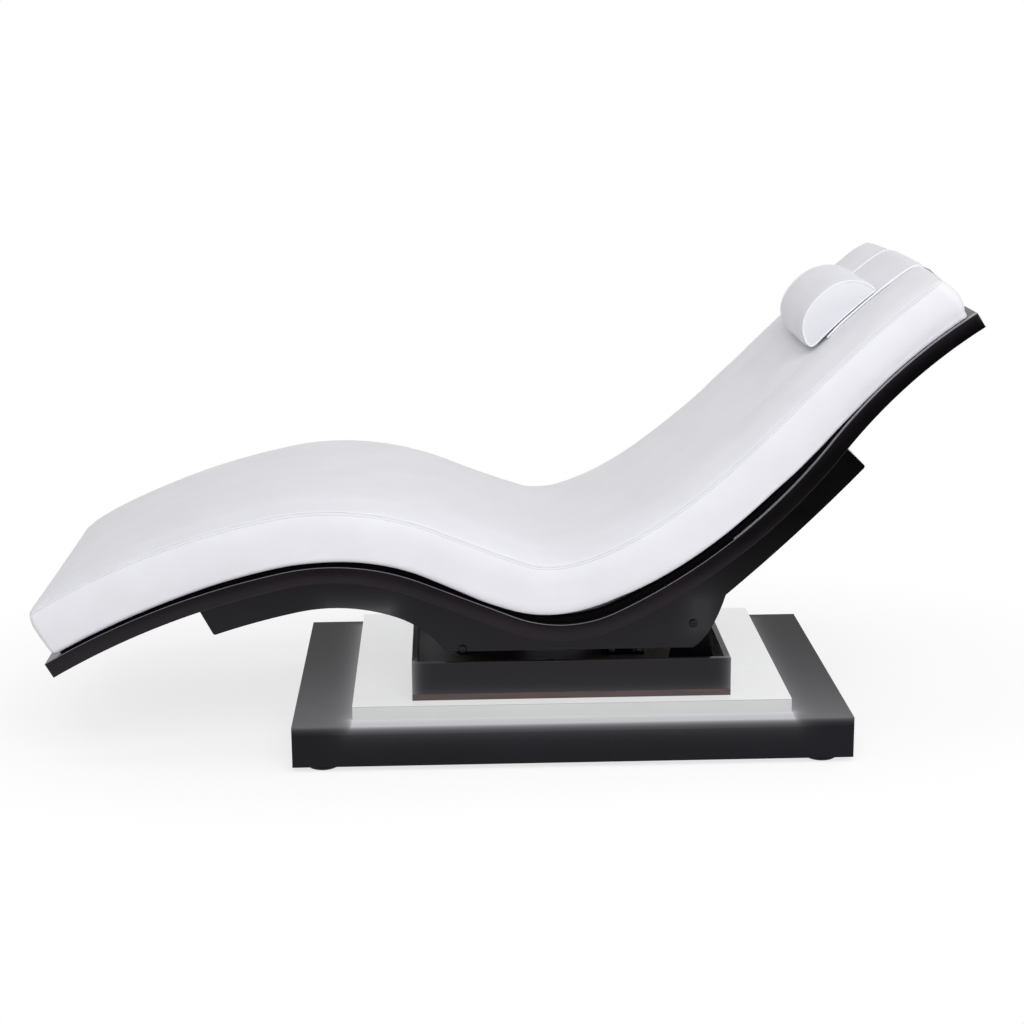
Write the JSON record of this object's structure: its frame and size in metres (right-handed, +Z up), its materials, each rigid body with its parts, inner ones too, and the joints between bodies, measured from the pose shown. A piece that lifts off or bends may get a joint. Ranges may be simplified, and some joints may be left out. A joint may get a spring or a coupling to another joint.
{
  "type": "spa relaxation lounger",
  "caption": "Wave-shaped padded lounger on a low plinth with a lit slab. An actuator in the open trough tilts it about one axle, and the neck bolster slides along the back.",
  "frame": {"origin": "on the floor, under the middle of the whole outline's box", "axes": "+X along the length, from the foot end to the head end; +Y across, away from the side the picture shows; +Z up"},
  "size_m": [1.9364, 0.77, 1.0173],
  "materials": {
    "plinth_lacquer": "high-gloss charcoal lacquer",
    "deck_lacquer": "satin espresso lacquer over bent plywood",
    "brown_board": "stained board with a brown edge",
    "raw_wood": "plain birch plywood",
    "black_board": "black stained plywood",
    "white_hide": "smooth white coated fabric with a fine leather grain",
    "lit_acrylic": "opal acrylic, lit from inside",
    "steel": "zinc plated and turned steel",
    "black_metal": "black powder coat",
    "black_bolt": "black oxide",
    "cast_housing": "black painted casting",
    "aluminium": "satin anodised",
    "black_plastic": "fine textured black",
    "bronze": "sintered bronze",
    "led_strip": "white flexible strip with lamps"
  },
  "bodies": {
    "base": {"glide_pads": "black_plastic", "glide_studs": "steel", "corner_blocks": "raw_wood", "plinth_top": "plinth_lacquer", "plinth_front": "plinth_lacquer", "plinth_back": "plinth_lacquer", "plinth_foot_side": "plinth_lacquer", "plinth_head_side": "plinth_lacquer", "plinth_bottom": "raw_wood", "bottom_screws": "steel", "chassis_rails": "black_metal", "chassis_crossbars": "black_metal", "led_driver": "aluminium", "power_inlet": "black_plastic", "led_tray": "aluminium", "led_strips": "led_strip", "glow_slab": "lit_acrylic", "slab_spacers": "steel", "clamp_bolts": "steel", "trough_floor": "brown_board", "trough_front": "plinth_lacquer", "trough_back": "plinth_lacquer", "trough_foot_side": "plinth_lacquer", "trough_head_side": "plinth_lacquer", "pivot_bracket_near": "black_metal", "pivot_bracket_far": "black_metal", "bracket_bolts": "steel", "pivot_bushes": "bronze", "actuator_bracket": "black_metal", "actuator_pin": "steel", "control_box": "black_plastic"},
    "lounge": {"deck": "deck_lacquer", "keel_panel_near": "deck_lacquer", "keel_panel_far": "deck_lacquer", "keel_end_foot": "deck_lacquer", "keel_end_head": "deck_lacquer", "keel_skin_foot": "deck_lacquer", "keel_skin_head": "deck_lacquer", "deck_battens": "raw_wood", "tilt_plate_near": "black_metal", "tilt_plate_far": "black_metal", "pivot_axle": "steel", "lift_shaft": "steel", "keel_bolts": "black_bolt", "cushion_board": "black_board", "cushion": "white_hide", "head_band": "white_hide"},
    "actuator": {"actuator_gearbox": "cast_housing", "actuator_motor": "black_metal", "actuator_tube": "aluminium"},
    "rod": {"actuator_rod": "steel", "rod_eye": "steel"},
    "bolster": {"neck_bolster": "white_hide"}
  },
  "joints": [
    {"name": "lounge_tilt", "type": "hinge", "parent": "base", "child": "lounge", "pos_m": [0.39855, 0, 0.282], "axis": [0, 1, 0], "range_deg": [0, 15]},
    {"name": "actuator_swing", "type": "hinge", "parent": "base", "child": "actuator", "pos_m": [0.27655, 0, 0.184], "axis": [0, 1, 0], "range_deg": [0, 18.5]},
    {"name": "rod_slide", "type": "slide", "parent": "actuator", "child": "rod", "axis": [-0.9906, 0, 0.1365], "range_m": [0, 0.034]},
    {"name": "bolster_slide", "type": "hinge", "parent": "lounge", "child": "bolster", "pos_m": [1.54171, 0, 0.00785], "axis": [0, 1, 0], "range_deg": [-1.88, 1.88]}
  ],
  "couplings": [
    {"joint": "actuator_swing", "follows": "lounge_tilt", "ratio": 1.2286},
    {"joint": "rod_slide", "follows": "lounge_tilt", "m_per_rad": 0.1292}
  ]
}
